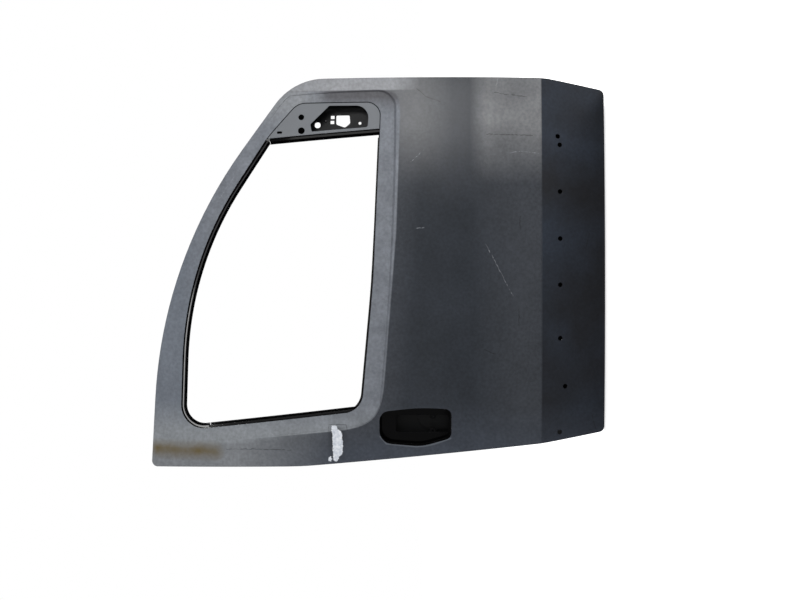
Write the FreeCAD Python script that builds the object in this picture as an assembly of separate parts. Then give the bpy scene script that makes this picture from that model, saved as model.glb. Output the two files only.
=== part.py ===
import FreeCAD, Part
import math
import os
from FreeCAD import Vector

# Right-hand front door shell of a van: bare pressed steel, in millimetres.
# The origin is the centre of the upper hinge, on the hinge wall.
# X points forward, Y inboard, Z up. The painted outer face looks along -Y.

# Sheet thicknesses and fits
SKIN_SHEET = 1.0
INNER_SHEET = 1.2
CHANNEL_SHEET = 1.2
BEAM_SHEET = 1.8
PLATE_SHEET = 3.0
LAP_GAP = 0.3
GROOVE_GAP = 2.0

# Outer skin: side section and plan bow
SKIN_OUT = 82.0
SIDE_RADIUS = 3200.0
SIDE_CREST_Z = -130.0
PLAN_RADIUS = 7000.0
PLAN_CENTRE_X = -613.0
CREASE_Z = -385.0
LOW_SLOPE = 11.0
LOW_RADIUS = 1720.0

# Door outline, seen square on
FRONT_EDGE_X = 26.0
SILL_Z = -586.0
ROOF_CORNER_X = -1170.0
ROOF_CORNER_Z = 819.0
REAR_KNEE_X = -1155.0
REAR_KNEE_Z = 340.0
REAR_CREASE_X = -1081.0
REAR_FOOT_X = -1049.0
FRONT_FOOT_X = -5.0
PILLAR_FOOT_Z = 366.0
PILLAR_HEAD_X = -527.0
PILLAR_HEAD_Z = 775.0
PILLAR_BEND = 1450.0
PILLAR_FOOT_RADIUS = 185.0
CORNER_RADIUS = 18.0

# Hem round the door edge
HEM_WIDTH = 11.0

# Recessed band round the window
BAND_DEPTH = 7.0
BAND_RUNOUT = 420.0
BAND_BASE_Z = 40.0
BAND_DRAFT = 35.0
BAND_FRONT_X = 2.0
BAND_FRONT_Z = 37.0
BAND_REAR_X = -1026.0
BAND_REAR_Z = 97.0

# Window opening in the skin
BELT_FRONT_Z = 97.0
BELT_MID_X = -600.0
BELT_MID_Z = 121.0
BELT_REAR_X = -984.0
BELT_REAR_Z = 156.0
WINDOW_REAR_X = -1054.0
WINDOW_ROOF_Z = 722.0
WINDOW_HEAD_X = -540.0
WINDOW_HEAD_Z = 702.0
WINDOW_PILLAR_X = -150.0
WINDOW_PILLAR_Z = 445.0
WINDOW_FRONT_X = -47.0
WINDOW_FRONT_Z = 352.0
WINDOW_LIP = 10.0

# Glass channels
BAR_TOP_X = -156.0
BAR_FOOT_X = -130.0
CHANNEL_DEPTH = 22.0
CHANNEL_OUTER_LEG = 8.0
CHANNEL_INNER_LEG = 14.0
FRONT_CHANNEL_FOOT_Z = -90.0
REAR_CHANNEL_FOOT_Z = -255.0
UPPER_CHANNEL_END_Z = 630.0
UPPER_CHANNEL_START_X = -160.0

# Inner panel
FACE_Y = 43.0
FRAME_DEPTH = 58.0
SHOULDER_FRONT_Z = 60.0
SHOULDER_REAR_Z = 104.0
FRAME_SEAM_RISE = 4.0
INNER_BELT_RISE = 9.0

# Handle opening, bowl and bracket
HANDLE_FRONT_X = -972.0
HANDLE_REAR_X = -1090.0
HANDLE_TOP_Z = 102.0
HANDLE_FOOT_Z = -115.0
HANDLE_LIP = 14.0
BOWL_DEPTH = 38.0
BOWL_HOLE_FRONT_X = -997.0
BOWL_HOLE_REAR_X = -1050.0
BOWL_HOLE_TOP_Z = 52.0
BOWL_HOLE_FOOT_Z = -108.0
EAR_Z = -60.0
EAR_HOLE = 6.0

# Moulding clip holes
CLIP_HOLE = 14.0
CLIP_ROW_Z = -444.0
CLIP_OUTER_PAIR = 435.0
CLIP_INNER_PAIR = 150.5

# Hinge fixings
HINGE_Y = 0.0
HINGE_PITCH = 50.0
HINGE_HOLE = 10.5
HINGE_DROP = 330.0
PAD_PROUD = 2.0
PAD_HALF_HEIGHT = 58.0
PAD_OUTBOARD = 34.0
PAD_INBOARD = 36.0
PAD_CORNER = 8.0

# Inner face: recessed shield area and service openings
SHIELD_STEP = 5.0
SPEAKER_X = -240.0
SPEAKER_Z = -430.0
SPEAKER_HOLE = 116.0
SPEAKER_PANEL = (-330.0, -150.0, -520.0, -340.0)
LATCH_PANEL = (-1060.0, -935.0, -285.0, -115.0)
HINGE_SEAM_X = -24.0
BEAD_RISE = 4.0
BEAD_WIDTH = 30.0
BEAD_FRONT_X = -400.0
BEAD_REAR_X = -900.0
TRIM_HOLE = 8.0
TRIM_ROW_Z = 25.0
TRIM_ROW_X = -550.0
TRIM_ROW_PITCH = 600.0
CARRIER_HOLE = 7.0
CARRIER_X = -610.0
CARRIER_Z = -175.0
CARRIER_LENGTH = 680.0
CARRIER_HEIGHT = 290.0

# Mirror plate
MIRROR_SET = 1.5
MIRROR_SHEET = 1.5

# Latch and check strap
LATCH_Z = -155.0
LATCH_Y = 4.0
LATCH_CIRCLE = 72.0
LATCH_HOLE = 8.5
STRAP_Z = -120.0
HARNESS_Z = -190.0
HARNESS_HOLE = 30.0

# Side impact beam
BEAM_FRONT_Z = -235.0
BEAM_REAR_Z = -335.0
BEAM_START_X = -8.0
BEAM_END_X = -1048.0
BEAM_SET = 4.0
BEAM_DEPTH = 24.0
BEAM_HEIGHT = 52.0

FAR = 400.0


def unit(a, b):
    length = math.hypot(b[0] - a[0], b[1] - a[1])
    return ((b[0] - a[0]) / length, (b[1] - a[1]) / length, length)


def moved_in(corners, inset):
    """Corners of an outline with every side moved inward, radii kept concentric."""
    count = len(corners)
    area = 0.0
    for i in range(count):
        a = corners[i]
        b = corners[(i + 1) % count]
        area += a[0] * b[1] - b[0] * a[1]
    turn = 1.0 if area > 0 else -1.0
    moved = []
    for i in range(count):
        before = unit(corners[i - 1], corners[i])
        after = unit(corners[i], corners[(i + 1) % count])
        cross = before[0] * after[1] - before[1] * after[0]
        dot = before[0] * after[0] + before[1] * after[1]
        reach = inset * turn / (1.0 + dot)
        x = corners[i][0] + reach * (-before[1] - after[1])
        z = corners[i][1] + reach * (before[0] + after[0])
        radius = corners[i][2]
        radius += -inset if cross * turn > 0 else inset
        moved.append((x, z, max(radius, 0.4)))
    return moved


def outline(corners, y=0.0):
    """Closed wire of straight sides and tangent corner arcs, at depth y."""
    count = len(corners)
    ends = []
    for i in range(count):
        before = unit(corners[i - 1], corners[i])
        after = unit(corners[i], corners[(i + 1) % count])
        dot = max(-1.0, min(1.0, before[0] * after[0] + before[1] * after[1]))
        half = math.acos(dot) / 2.0
        room = 0.66 * min(before[2], after[2])
        tangent = min(corners[i][2] * math.tan(half), room)
        radius = tangent / math.tan(half)
        px, pz = corners[i][0], corners[i][1]
        sag = radius / math.cos(half) - radius
        bx, bz = after[0] - before[0], after[1] - before[1]
        norm = math.hypot(bx, bz)
        start = Vector(px - before[0] * tangent, y, pz - before[1] * tangent)
        middle = Vector(px + bx / norm * sag, y, pz + bz / norm * sag)
        finish = Vector(px + after[0] * tangent, y, pz + after[1] * tangent)
        ends.append((start, middle, finish))
    edges = []
    for i in range(count):
        start, middle, finish = ends[i]
        edges.append(Part.Arc(start, middle, finish).toShape())
        onward = ends[(i + 1) % count][0]
        if finish.distanceToPoint(onward) > 0.001:
            edges.append(Part.makeLine(finish, onward))
    return Part.Wire(edges)


def prism(corners, inset=0.0, near=-FAR, far=FAR):
    """Straight block through the door with a rounded outline."""
    shape = moved_in(corners, inset) if inset else corners
    return Part.Face(outline(shape, near)).extrude(Vector(0, far - near, 0))


def ring(corners, outer, inner):
    return prism(corners, outer).cut(prism(corners, inner))


def box(x0, x1, y0, y1, z0, z1):
    return Part.makeBox(x1 - x0, y1 - y0, z1 - z0, Vector(x0, y0, z0))


def strip(points, near=-FAR, far=FAR):
    """Straight-sided block through the door."""
    wire = Part.makePolygon([Vector(x, near, z) for x, z in points + points[:1]])
    return Part.Face(wire).extrude(Vector(0, far - near, 0))


def arc_y(centre, radius, z):
    return centre[0] - math.sqrt(radius * radius - (z - centre[1]) ** 2)


def arc_edge(centre, radius, z0, z1):
    points = [Vector(PLAN_CENTRE_X, arc_y(centre, radius, z), z) for z in (z0, (z0 + z1) / 2.0, z1)]
    return Part.Arc(points[0], points[1], points[2]).toShape()


SIDE_CENTRE = (SIDE_RADIUS - SKIN_OUT, SIDE_CREST_Z)
BAND_SLOPE = BAND_DEPTH / BAND_RUNOUT
BAND_CREST = SIDE_CREST_Z + BAND_SLOPE * SIDE_RADIUS
BAND_BACK = BAND_DEPTH + BAND_SLOPE * (BAND_BASE_Z - SIDE_CREST_Z) - BAND_SLOPE ** 2 * SIDE_RADIUS / 2.0
BAND_CENTRE = (SIDE_RADIUS - SKIN_OUT + BAND_BACK, BAND_CREST)
SECTION_TOP = ROOF_CORNER_Z + 45.0
SECTION_FOOT = SILL_Z - 45.0
WALL_INSET = FRONT_EDGE_X + PAD_PROUD
WALL_X = FRONT_EDGE_X - WALL_INSET


def low_centre():
    lean = math.radians(LOW_SLOPE)
    crease_y = arc_y(SIDE_CENTRE, SIDE_RADIUS, CREASE_Z)
    return (crease_y + LOW_RADIUS * math.cos(lean), CREASE_Z + LOW_RADIUS * math.sin(lean))


def crease_point(depth):
    """Where the side arc and the lower arc meet, both moved in by a depth."""
    a, ra = SIDE_CENTRE, SIDE_RADIUS - depth
    b, rb = low_centre(), LOW_RADIUS - depth
    ux, uz, gap = unit(a, b)
    along = (ra * ra - rb * rb + gap * gap) / (2.0 * gap)
    across = math.sqrt(ra * ra - along * along)
    first = (a[0] + ux * along - uz * across, a[1] + uz * along + ux * across)
    second = (a[0] + ux * along + uz * across, a[1] + uz * along - ux * across)
    return min(first, second)


def section_edges(depth):
    meet = crease_point(depth)
    upper = arc_edge(SIDE_CENTRE, SIDE_RADIUS - depth, SECTION_TOP, meet[1])
    lower = arc_edge(low_centre(), LOW_RADIUS - depth, meet[1], SECTION_FOOT)
    return [upper, lower]


def bowed(edges_out, edges_in):
    """Solid between two section lines, swung round the plan bow."""
    first, last = edges_out[0].Vertexes[0].Point, edges_out[-1].Vertexes[-1].Point
    other, end = edges_in[0].Vertexes[0].Point, edges_in[-1].Vertexes[-1].Point
    edges = edges_out + edges_in + [Part.makeLine(first, other), Part.makeLine(last, end)]
    face = Part.Face(Part.Wire(Part.__sortEdges__(edges)))
    pivot = Vector(PLAN_CENTRE_X, PLAN_RADIUS - SKIN_OUT, 0)
    swing = math.degrees(math.asin((FRONT_EDGE_X - PLAN_CENTRE_X + 60.0) / PLAN_RADIUS))
    face.rotate(pivot, Vector(0, 0, 1), -swing)
    return face.revolve(pivot, Vector(0, 0, 1), 2.0 * swing)


def side_slab(near, far):
    """Layer of the door between two depths behind the outer skin face."""
    return bowed(section_edges(near), section_edges(far))


def band_slab(near, far, foot=-420.0):
    """Layer between two depths behind the recessed window band, the glass path."""
    outer = arc_edge(BAND_CENTRE, SIDE_RADIUS - near, SECTION_TOP, foot)
    inner = arc_edge(BAND_CENTRE, SIDE_RADIUS - far, SECTION_TOP, foot)
    return bowed([outer], [inner])


DOOR = [
    (ROOF_CORNER_X, ROOF_CORNER_Z, CORNER_RADIUS),
    (REAR_KNEE_X, REAR_KNEE_Z, 1200.0),
    (REAR_CREASE_X, CREASE_Z - 10.0, 500.0),
    (REAR_FOOT_X, SILL_Z, CORNER_RADIUS),
    (FRONT_FOOT_X, SILL_Z, CORNER_RADIUS),
    (FRONT_EDGE_X, CREASE_Z - 15.0, 300.0),
    (FRONT_EDGE_X, PILLAR_FOOT_Z, PILLAR_FOOT_RADIUS),
    (PILLAR_HEAD_X, PILLAR_HEAD_Z, PILLAR_BEND),
]

WINDOW = [
    (WINDOW_FRONT_X, WINDOW_FRONT_Z, 55.0),
    (WINDOW_FRONT_X, BELT_FRONT_Z, 42.0),
    (BELT_MID_X, BELT_MID_Z, 3000.0),
    (BELT_REAR_X, BELT_REAR_Z, 62.0),
    (WINDOW_REAR_X, WINDOW_ROOF_Z, 70.0),
    (WINDOW_HEAD_X, WINDOW_HEAD_Z, 1040.0),
    (WINDOW_PILLAR_X, WINDOW_PILLAR_Z, 300.0),
]

HANDLE = [
    (HANDLE_FRONT_X - 14.0, HANDLE_TOP_Z, 30.0),
    (HANDLE_FRONT_X, -20.0, 500.0),
    (HANDLE_FRONT_X - 5.0, HANDLE_FOOT_Z, 20.0),
    (HANDLE_REAR_X + 26.0, HANDLE_FOOT_Z, 22.0),
    (HANDLE_REAR_X, -25.0, 150.0),
    (HANDLE_REAR_X + 10.0, HANDLE_TOP_Z, 40.0),
]

BOWL_HOLE = [
    (BOWL_HOLE_FRONT_X, BOWL_HOLE_TOP_Z, 8.0),
    (BOWL_HOLE_FRONT_X, BOWL_HOLE_FOOT_Z, 8.0),
    (BOWL_HOLE_REAR_X, BOWL_HOLE_FOOT_Z, 8.0),
    (BOWL_HOLE_REAR_X, BOWL_HOLE_TOP_Z, 8.0),
]


MIRROR_HOLES = [(-91.0, 341.0, 17.5), (-132.5, 340.5, 20.5)]

MIRROR_CUT = [
    (-57.0, 255.0, 6.0),
    (-58.0, 133.0, 38.0),
    (-124.0, 138.0, 8.0),
    (-136.0, 309.0, 5.0),
    (-113.0, 313.0, 6.0),
]

MIRROR_BACK = [(-68.0, 315.0, 10.0), (-68.0, 140.0, 10.0), (-120.0, 140.0, 10.0), (-128.0, 315.0, 10.0)]

SHIELD = [(-70.0, -15.0, 50.0), (-70.0, -535.0, 50.0), (-1010.0, -535.0, 50.0), (-1055.0, -15.0, 50.0)]

REGULATOR = [(-290.0, -45.0, 45.0), (-330.0, -330.0, 55.0), (-850.0, -390.0, 55.0), (-900.0, -55.0, 55.0)]

LATCH_ACCESS = [(-950.0, -130.0, 22.0), (-950.0, -270.0, 22.0), (-1030.0, -270.0, 22.0), (-1036.0, -130.0, 22.0)]

DRAINS = (-200.0, -560.0, -900.0)

TRIM_HOLES = [(TRIM_ROW_X + 0.5 * TRIM_ROW_PITCH, TRIM_ROW_Z), (TRIM_ROW_X - 0.5 * TRIM_ROW_PITCH, TRIM_ROW_Z)]
TRIM_HOLES += [(TRIM_ROW_X, TRIM_ROW_Z), (-36.0, -60.0), (-36.0, -260.0), (-40.0, -440.0)]
TRIM_HOLES += [(-1078.0, -20.0), (-1050.0, -350.0), (-140.0, -547.0), (-560.0, -547.0), (-960.0, -547.0)]


def bead(x0, x1, z0, z1):
    radius = BEAD_WIDTH / 2.0 - 1.0
    return [(x1, z1, radius), (x1, z0, radius), (x0, z0, radius), (x0, z1, radius)]


BEADS = [bead(BEAD_REAR_X, BEAD_FRONT_X, z - BEAD_WIDTH / 2.0, z + BEAD_WIDTH / 2.0) for z in (-440.0, -495.0)]
BEADS += [bead(-125.0 - BEAD_WIDTH / 2.0, -125.0 + BEAD_WIDTH / 2.0, -310.0, -70.0)]


def glass_corners(rise):
    """Glass side of the window opening, its belt edge raised if asked."""
    return [
        (BAR_TOP_X, WINDOW_PILLAR_Z + 4.0, 10.0),
        (BAR_FOOT_X, BELT_FRONT_Z + rise, 8.0),
        (BELT_MID_X, BELT_MID_Z + rise, 3000.0),
        (BELT_REAR_X, BELT_REAR_Z + rise, 62.0),
        (WINDOW_REAR_X, WINDOW_ROOF_Z, 70.0),
        (WINDOW_HEAD_X, WINDOW_HEAD_Z, 1040.0),
    ]


def bar_x(z):
    """Rear edge of the mirror plate, which leans with the front channel."""
    return BAR_FOOT_X + (BAR_TOP_X - BAR_FOOT_X) * (z - BELT_FRONT_Z) / (WINDOW_PILLAR_Z - BELT_FRONT_Z)


def rear_x(z):
    """Rear side of the window opening, carried on below the belt."""
    lean = (WINDOW_REAR_X - BELT_REAR_X) / (WINDOW_ROOF_Z - BELT_REAR_Z)
    return BELT_REAR_X + lean * (z - BELT_REAR_Z)


def band_tool(growth):
    """Drafted cutter for the recessed band; growth moves its walls outward."""
    spread = math.tan(math.radians(BAND_DRAFT))
    corners = [
        (BAND_FRONT_X, BAND_FRONT_Z, 55.0),
        (BAND_REAR_X, BAND_REAR_Z, 100.0),
        (BAND_REAR_X - 184.0, SECTION_TOP + 60.0, 5.0),
        (BAND_FRONT_X + 30.0, SECTION_TOP + 60.0, 5.0),
    ]
    level = -70.0
    outer, inner = -110.0, 60.0
    wide = outline(moved_in(corners, (outer - level) * spread - growth), outer)
    narrow = outline(moved_in(corners, (inner - level) * spread - growth), inner)
    tool = Part.makeLoft([wide, narrow], True, True)
    return tool.common(prism(DOOR, HEM_WIDTH + 4.0 - growth))


def pressed_block(depth, growth):
    """Everything inboard of the skin face moved in by a depth, openings walled."""
    block = side_slab(depth, 30.0 + depth).common(prism(DOOR, -2.0 * depth))
    block = block.cut(band_tool(growth * 1.3).common(band_slab(-90.0, depth, -40.0)))
    block = block.cut(prism(WINDOW, -depth))
    return block.cut(prism(HANDLE, -depth))


def clip_hole(x, z):
    """Cutter square to the lower band at a moulding clip."""
    centre = low_centre()
    lean = math.asin((centre[1] - CLIP_ROW_Z) / LOW_RADIUS)
    reach = PLAN_RADIUS - SKIN_OUT - arc_y(centre, LOW_RADIUS, z)
    y = PLAN_RADIUS - SKIN_OUT - math.sqrt(reach ** 2 - (x - PLAN_CENTRE_X) ** 2)
    inward = Vector(0, math.cos(lean), math.sin(lean))
    return Part.makeCylinder(CLIP_HOLE / 2.0, 30.0, Vector(x, y, z) - inward * 15.0, inward)


CLIPS = [(-152.0, CLIP_ROW_Z + 6.0)]
CLIPS += [(PLAN_CENTRE_X + CLIP_OUTER_PAIR, CLIP_ROW_Z), (PLAN_CENTRE_X - CLIP_OUTER_PAIR, CLIP_ROW_Z)]
CLIPS += [(PLAN_CENTRE_X + 293.0, CLIP_ROW_Z), (PLAN_CENTRE_X - 296.0, CLIP_ROW_Z - 16.0)]
CLIPS += [(PLAN_CENTRE_X + CLIP_INNER_PAIR, CLIP_ROW_Z), (PLAN_CENTRE_X - CLIP_INNER_PAIR, CLIP_ROW_Z)]
CLIPS += [(PLAN_CENTRE_X + 11.0, CLIP_ROW_Z)]


def outer_skin():
    skin = pressed_block(0.0, 0.0).cut(pressed_block(SKIN_SHEET, SKIN_SHEET))
    skin = skin.common(prism(DOOR))
    long_lip = prism(WINDOW, -3.0).common(band_slab(WINDOW_LIP, 90.0, -40.0))
    long_lip = long_lip.fuse(prism(HANDLE, -3.0).common(side_slab(HANDLE_LIP, 60.0)))
    skin = skin.cut(long_lip)
    hem = 2.0 * SKIN_SHEET + INNER_SHEET + 2.0 * LAP_GAP
    fold = ring(DOOR, 0.0, SKIN_SHEET).common(side_slab(SKIN_SHEET / 2.0, hem))
    turned = ring(DOOR, 0.0, HEM_WIDTH).common(side_slab(hem - SKIN_SHEET, hem))
    skin = skin.fuse(fold.fuse(turned))
    for x, z in CLIPS:
        skin = skin.cut(clip_hole(x, z))
    return skin


def below_line(front, rear, x0=100.0, x1=-1300.0):
    """Block under a sloping line given by its height at the front and rear."""
    return strip([(x0, front), (x0, -900.0), (x1, -900.0), (x1, rear)])


def hinge_pad(z, inset):
    """Proud pad of the hinge wall under one hinge leaf."""
    pad = box(-20.0, -inset, HINGE_Y - PAD_OUTBOARD + inset, HINGE_Y + PAD_INBOARD - inset,
              z - PAD_HALF_HEIGHT + inset, z + PAD_HALF_HEIGHT - inset)
    corners = [edge for edge in pad.Edges if abs(edge.tangentAt(edge.FirstParameter).x) > 0.9]
    return pad.makeFillet(PAD_CORNER - inset, corners)


def inner_block(near, inset, rise, wall):
    """Solid body of the inner panel moved in by a sheet thickness."""
    frame = side_slab(near, FRAME_DEPTH - inset).common(prism(DOOR, WALL_INSET + inset))
    pan = side_slab(near, 190.0).common(prism(DOOR, WALL_INSET + inset, -FAR, FACE_Y - inset))
    below = below_line(SHOULDER_FRONT_Z - inset, SHOULDER_REAR_Z - inset)
    bulge = below.common(box(-1300.0, 100.0, FACE_Y - inset, FAR, -900.0, 300.0))
    block = frame.fuse(pan.common(below)).cut(bulge)
    block = block.cut(prism(glass_corners(rise), -wall))
    shield = FACE_Y - SHIELD_STEP - inset
    block = block.cut(prism(SHIELD, -inset, shield, FACE_Y + 5.0))
    for corners in BEADS:
        block = block.fuse(prism(corners, inset, shield - 6.0, shield + BEAD_RISE))
    return block.fuse(hinge_pad(0.0, inset)).fuse(hinge_pad(-HINGE_DROP, inset))


def wall_point(z, inset):
    """Point of the latch wall at a height, moved in from the door edge."""
    knee = (REAR_KNEE_X, REAR_KNEE_Z)
    foot = (REAR_CREASE_X, CREASE_Z - 10.0)
    dx, dz, length = unit(knee, foot)
    along = (z - knee[1]) / dz
    return (knee[0] + dx * along - dz * inset, z + dx * inset)


def wall_strip(z0, z1, near, far, inset0, inset1):
    """Block lying along the latch wall between two insets."""
    points = [wall_point(z0, inset0), wall_point(z1, inset0), wall_point(z1, inset1), wall_point(z0, inset1)]
    return strip(points, near, far)


def latch_holes():
    """Latch cut-out and its three screw holes, square to the latch wall."""
    x, z = wall_point(LATCH_Z, WALL_INSET)
    dx, dz, length = unit((REAR_KNEE_X, REAR_KNEE_Z), (REAR_CREASE_X, CREASE_Z - 10.0))
    inward = Vector(-dz, 0, dx)
    cuts = wall_strip(LATCH_Z + 16.0, LATCH_Z - 20.0, LATCH_Y - 14.0, LATCH_Y + 16.0,
                      WALL_INSET - 10.0, WALL_INSET + 12.0)
    for turn in (90.0, 210.0, 330.0):
        rise = LATCH_CIRCLE / 2.0 * math.sin(math.radians(turn))
        side = LATCH_CIRCLE / 2.0 * math.cos(math.radians(turn))
        start = Vector(x - dx * rise, LATCH_Y + side, z - dz * rise) - inward * 8.0
        cuts = cuts.fuse(Part.makeCylinder(LATCH_HOLE / 2.0, 20.0, start, inward))
    return cuts


def hinge_holes(z):
    cuts = []
    for side in (-0.5, 0.5):
        start = Vector(8.0, HINGE_Y, z + side * HINGE_PITCH)
        cuts.append(Part.makeCylinder(HINGE_HOLE / 2.0, 20.0, start, Vector(-1, 0, 0)))
    return cuts[0].fuse(cuts[1])


def strap_holes():
    """Check strap slot between the hinges, with a screw hole each side."""
    cuts = box(-12.0, 6.0, HINGE_Y - 9.0, HINGE_Y + 9.0, STRAP_Z - 20.0, STRAP_Z + 20.0)
    for side in (-38.0, 38.0):
        start = Vector(8.0, HINGE_Y, STRAP_Z + side)
        cuts = cuts.fuse(Part.makeCylinder(3.5, 20.0, start, Vector(-1, 0, 0)))
    return cuts


def face_hole(size, x, z):
    """Cutter square through the flat inner face."""
    return Part.makeCylinder(size / 2.0, 40.0, Vector(x, FACE_Y - 20.0, z), Vector(0, 1, 0))


def inner_panel():
    lap = SKIN_SHEET + LAP_GAP
    outer = inner_block(lap, 0.0, INNER_BELT_RISE, lap)
    hollow = inner_block(-8.0, INNER_SHEET, INNER_BELT_RISE + 25.0, lap + INNER_SHEET)
    panel = outer.cut(hollow)
    flange = ring(DOOR, lap, WALL_INSET + INNER_SHEET).common(side_slab(lap, lap + INNER_SHEET))
    panel = panel.fuse(flange)
    panel = panel.cut(band_tool(lap * 1.3).common(band_slab(-90.0, lap, -40.0)))
    plate_back = MIRROR_SET + MIRROR_SHEET + LAP_GAP
    panel = panel.cut(prism(WINDOW).common(band_slab(-90.0, plate_back, -40.0)))
    for corners in (REGULATOR, LATCH_ACCESS):
        panel = panel.cut(prism(corners, 0.0, FACE_Y - 20.0, FACE_Y + 20.0))
    panel = panel.cut(face_hole(SPEAKER_HOLE, SPEAKER_X, SPEAKER_Z))
    panel = panel.cut(prism(MIRROR_BACK).common(side_slab(FRAME_DEPTH - 12.0, FRAME_DEPTH + 12.0)))
    for x, z in TRIM_HOLES:
        panel = panel.cut(face_hole(TRIM_HOLE, x, z))
    for x in (CARRIER_X - CARRIER_LENGTH / 2.0, CARRIER_X + CARRIER_LENGTH / 2.0):
        for z in (CARRIER_Z - CARRIER_HEIGHT / 2.0, CARRIER_Z + CARRIER_HEIGHT / 2.0):
            panel = panel.cut(face_hole(CARRIER_HOLE, x, z))
    for z in (0.0, -HINGE_DROP):
        panel = panel.cut(hinge_holes(z))
    panel = panel.cut(strap_holes().fuse(latch_holes()))
    harness = Vector(8.0, HINGE_Y, HARNESS_Z)
    panel = panel.cut(Part.makeCylinder(HARNESS_HOLE / 2.0, 20.0, harness, Vector(-1, 0, 0)))
    for x in DRAINS:
        slot = box(x - 15.0, x + 15.0, -5.0, 5.0, SILL_Z + WALL_INSET - 10.0, SILL_Z + WALL_INSET + 10.0)
        panel = panel.cut(slot)
    return panel


def panel_block(limits, gap):
    """Block round a welded-in piece of the inner face, given as two X and two Z limits."""
    x0, x1, z0, z1 = limits
    return box(x0 - gap, x1 + gap, FACE_Y - 25.0, FACE_Y + 10.0, z0 - gap, z1 + gap)


def mirror_plate():
    ahead = strip([(bar_x(600.0) + 1.5, 600.0), (200.0, 600.0), (200.0, 0.0), (bar_x(0.0) + 1.5, 0.0)])
    plate = prism(WINDOW, GROOVE_GAP).common(ahead).common(band_slab(MIRROR_SET, MIRROR_SET + MIRROR_SHEET, -40.0))
    plate = plate.cut(prism(MIRROR_CUT))
    for x, z, size in MIRROR_HOLES:
        start = Vector(x, -FAR, z)
        plate = plate.cut(Part.makeCylinder(size / 2.0, 2.0 * FAR, start, Vector(0, 1, 0)))
    slot = [(-133.0, 416.0, 3.5), (-133.0, 400.0, 3.5), (-140.5, 400.0, 3.5), (-140.5, 416.0, 3.5)]
    return plate.cut(prism(slot))


def mirror_back():
    """Perforated reinforcement seen through the mirror plate's cut-out."""
    depth = FRAME_DEPTH - INNER_SHEET - LAP_GAP
    corners = [(-52.0, 338.0, 12.0), (-52.0, 112.0, 12.0), (-128.0, 112.0, 12.0), (-143.0, 338.0, 12.0)]
    plate = prism(corners).common(side_slab(depth - MIRROR_SHEET, depth))
    holes = [
        [(-100.0, 303.0, 8.0), (-100.0, 285.0, 8.0), (-118.0, 285.0, 8.0), (-118.0, 303.0, 8.0)],
        [(-80.5, 253.0, 1.0), (-80.5, 241.5, 1.0), (-90.5, 241.5, 1.0), (-90.5, 253.0, 1.0)],
        [(-96.0, 254.0, 1.0), (-96.0, 242.5, 1.0), (-106.0, 242.5, 1.0), (-106.0, 254.0, 1.0)],
        [(-80.0, 236.0, 4.0), (-80.0, 195.0, 4.0), (-105.0, 193.0, 8.0), (-118.0, 209.0, 8.0), (-108.0, 236.0, 6.0)],
    ]
    for corners in holes:
        plate = plate.cut(prism(corners))
    for x, z, size in ((-97.5, 269.0, 6.0), (-105.0, 163.0, 9.0)):
        plate = plate.cut(Part.makeCylinder(size / 2.0, 2.0 * FAR, Vector(x, -FAR, z), Vector(0, 1, 0)))
    return plate


def channel(web, outer_leg, inner_leg):
    """Three flat layers of a glass channel, following the glass path."""
    near = WINDOW_LIP + 0.5
    far = near + CHANNEL_DEPTH
    foot = -420.0
    shape = web.common(band_slab(near, far, foot))
    shape = shape.fuse(outer_leg.common(band_slab(near, near + CHANNEL_SHEET, foot)))
    return shape.fuse(inner_leg.common(band_slab(far - CHANNEL_SHEET, far, foot)))


def upper_channel():
    glass = glass_corners(0.0)
    start = UPPER_CHANNEL_START_X
    head = [(start, 900.0), (-1300.0, 900.0), (-1300.0, UPPER_CHANNEL_END_Z)]
    head += [(-700.0, UPPER_CHANNEL_END_Z), (-250.0, WINDOW_PILLAR_Z - 5.0), (start, WINDOW_PILLAR_Z - 5.0)]
    zone = strip(head)
    web = ring(glass, -SKIN_SHEET, CHANNEL_SHEET - SKIN_SHEET).common(zone)
    outer_leg = ring(glass, -SKIN_SHEET, CHANNEL_OUTER_LEG).common(zone)
    inner_leg = ring(glass, -SKIN_SHEET, CHANNEL_INNER_LEG).common(zone)
    return channel(web, outer_leg, inner_leg)


def straight_channel(line, top, foot, side):
    """Channel along a leaning straight line; side is +1 to open forward."""
    def leg(width):
        back = -side * SKIN_SHEET
        reach = side * width
        return strip([(line(top) + back, top), (line(top) + reach, top), (line(foot) + reach, foot),
                      (line(foot) + back, foot)])
    return channel(leg(CHANNEL_SHEET - SKIN_SHEET), leg(CHANNEL_OUTER_LEG), leg(CHANNEL_INNER_LEG))


def belt_z(x, rise):
    """Height of the skin's belt edge at a station along the door."""
    if x > BELT_MID_X:
        share = (x - WINDOW_FRONT_X) / (BELT_MID_X - WINDOW_FRONT_X)
        return BELT_FRONT_Z + (BELT_MID_Z - BELT_FRONT_Z) * share + rise
    share = (x - BELT_MID_X) / (BELT_REAR_X - BELT_MID_X)
    return BELT_MID_Z + (BELT_REAR_Z - BELT_MID_Z) * share + rise


def belt_strip(x0, x1, low, high):
    stations = (x0, BELT_MID_X, x1)
    lower = [(x, belt_z(x, low)) for x in stations]
    upper = [(x, belt_z(x, high)) for x in reversed(stations)]
    return strip(lower + upper)


def belt_outer():
    """Hat strip behind the skin under the window edge, open to the skin."""
    near = SKIN_SHEET + LAP_GAP
    far = near + 13.0
    sheet = INNER_SHEET
    hat = belt_strip(-66.0, -955.0, -46.0, -4.0).common(band_slab(near, far, -40.0))
    hollow = belt_strip(-60.0, -960.0, -36.0, -4.0 - sheet).common(band_slab(near - 2.0, far - sheet, -40.0))
    lower = belt_strip(-60.0, -960.0, -50.0, -36.0 - sheet).common(band_slab(near + sheet, far + 2.0, -40.0))
    return hat.cut(hollow).cut(lower)


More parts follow.
